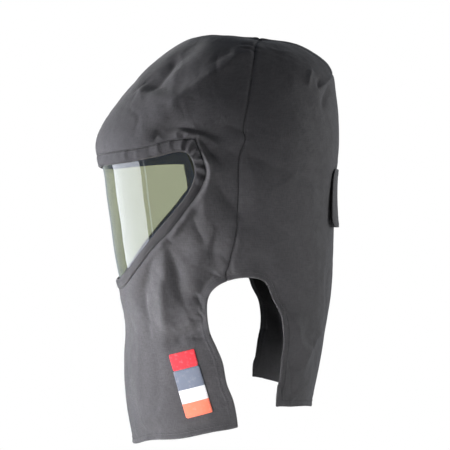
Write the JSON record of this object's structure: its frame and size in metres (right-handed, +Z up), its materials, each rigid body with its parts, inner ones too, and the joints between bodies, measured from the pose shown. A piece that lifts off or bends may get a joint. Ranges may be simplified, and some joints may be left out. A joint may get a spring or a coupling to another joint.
{
  "type": "arc flash hood",
  "caption": "Cloth hood with a curved tinted face window, front and back bibs and arched shoulder openings.",
  "frame": {"origin": "inner face of the crown, where the wearer's head carries the hood", "axes": "+Z up, -Y the way the wearer faces, +X the wearer's left"},
  "size_m": [0.3095, 0.3502, 0.5842],
  "materials": {
    "shell_cloth": "charcoal woven cloth, matt",
    "band_cloth": "charcoal folded band, matt",
    "visor_sheet": "green-grey tinted sheet, gloss",
    "label_cloth": "smooth printed label, satin",
    "mark_cloth": "smooth printed label, satin"
  },
  "bodies": {
    "root": {"hood_front": "shell_cloth", "hood_back": "shell_cloth", "back_bib": "shell_cloth", "crown_strip": "shell_cloth", "window_band": "band_cloth", "visor": "visor_sheet", "back_flap": "shell_cloth", "label_patch": "label_cloth", "label_mark": "mark_cloth"}
  },
  "joints": []
}
